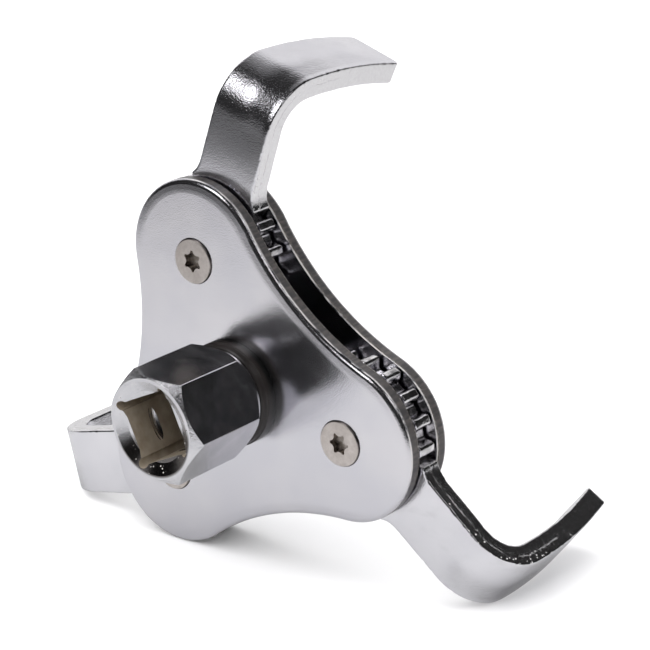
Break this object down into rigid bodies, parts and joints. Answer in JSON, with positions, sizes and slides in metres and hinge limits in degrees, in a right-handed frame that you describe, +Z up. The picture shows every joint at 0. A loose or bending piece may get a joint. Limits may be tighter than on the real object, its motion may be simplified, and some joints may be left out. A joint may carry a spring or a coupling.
{
  "type": "oil filter wrench",
  "caption": "Geared claw wrench for canister oil filters: a hex drive with a square socket turns a gear between two lobed plates, which swings hooked jaws in or out together.",
  "frame": {"origin": "centre of the drive socket's mouth, on the drive axis", "axes": "-Y along the drive axis, out of the socket's mouth towards the ratchet; +Y towards the filter; +Z up as the tool stands on its lowest cover lobe and two lower jaws; +X to the right seen from the drive side"},
  "size_m": [0.1219, 0.068, 0.1035],
  "materials": {
    "cover": "satin chrome plate over pressed steel, rolled edge worn through to bare steel",
    "gear": "machined, oiled",
    "jaw": "bright plate on the flat faces, dark sheared edges",
    "post": "turned",
    "screw": "zinc plated, warm grey",
    "washer": "plain",
    "spindle": "satin chrome outside, brown oxide inside the socket",
    "dust_ring": "matt black",
    "ring": "black oxide spring steel"
  },
  "bodies": {
    "covers": {"front_cover": "cover", "rear_cover": "cover", "pivot_post_1": "post", "pivot_post_2": "post", "pivot_post_3": "post", "pivot_screw_1": "screw", "pivot_screw_2": "screw", "pivot_screw_3": "screw", "front_washer_1": "washer", "front_washer_2": "washer", "front_washer_3": "washer", "rear_washer_1": "washer", "rear_washer_2": "washer", "rear_washer_3": "washer", "dust_ring": "dust_ring"},
    "spindle": {"drive_spindle": "spindle", "centre_gear": "gear", "gear_washer_front": "washer", "gear_washer_rear": "washer", "retaining_ring": "ring"},
    "jaw_1": {"jaw_1": "jaw"},
    "jaw_2": {"jaw_2": "jaw"},
    "jaw_3": {"jaw_3": "jaw"}
  },
  "joints": [
    {"name": "spindle_turn", "type": "hinge", "parent": "covers", "child": "spindle", "pos_m": [0, 0, 0], "axis": [0, -1, 0], "range_deg": [-195, 101]},
    {"name": "jaw_1_swing", "type": "hinge", "parent": "covers", "child": "jaw_1", "pos_m": [-0.00881, 0.0307, 0.02573], "axis": [0, -1, 0], "range_deg": [-73, 141]},
    {"name": "jaw_2_swing", "type": "hinge", "parent": "covers", "child": "jaw_2", "pos_m": [0.02669, 0.0307, -0.00524], "axis": [0, -1, 0], "range_deg": [-73, 141]},
    {"name": "jaw_3_swing", "type": "hinge", "parent": "covers", "child": "jaw_3", "pos_m": [-0.01788, 0.0307, -0.0205], "axis": [0, -1, 0], "range_deg": [-73, 141]}
  ],
  "couplings": [
    {"joint": "jaw_1_swing", "follows": "spindle_turn", "ratio": -0.72222},
    {"joint": "jaw_2_swing", "follows": "spindle_turn", "ratio": -0.72222},
    {"joint": "jaw_3_swing", "follows": "spindle_turn", "ratio": -0.72222}
  ]
}
